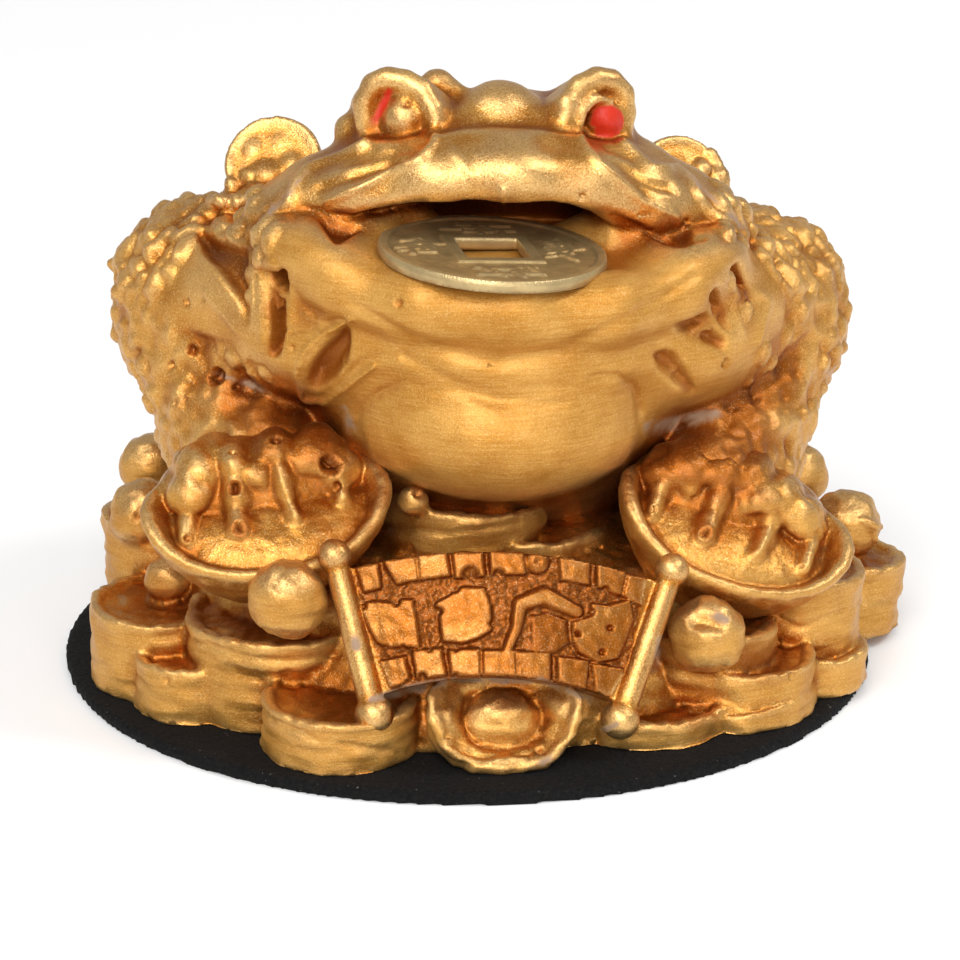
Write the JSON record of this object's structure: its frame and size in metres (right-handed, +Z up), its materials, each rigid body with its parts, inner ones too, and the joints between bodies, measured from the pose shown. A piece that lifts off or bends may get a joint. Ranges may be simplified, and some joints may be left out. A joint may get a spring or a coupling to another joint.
{
  "type": "money toad figure",
  "caption": "Gilded resin toad squatting on a heap of coins, boat ingots and pearls, with a loose square-holed coin on its jaw and a thin round foam pad underneath.",
  "frame": {"origin": "on the ground under the middle of the whole figure", "axes": "+Z up, the toad faces -Y, +X towards the toad's left hand side"},
  "size_m": [0.0792, 0.0752, 0.0575],
  "materials": {
    "gilding": "pearly gold paint over a rust-brown wash on cast resin",
    "coin_metal": "dull aged brass, worn brighter on the rims",
    "foam": "matt black fine-celled foam"
  },
  "bodies": {
    "root": {"toad_casting": "gilding", "loose_coin": "coin_metal", "foam_pad": "foam"}
  },
  "joints": []
}
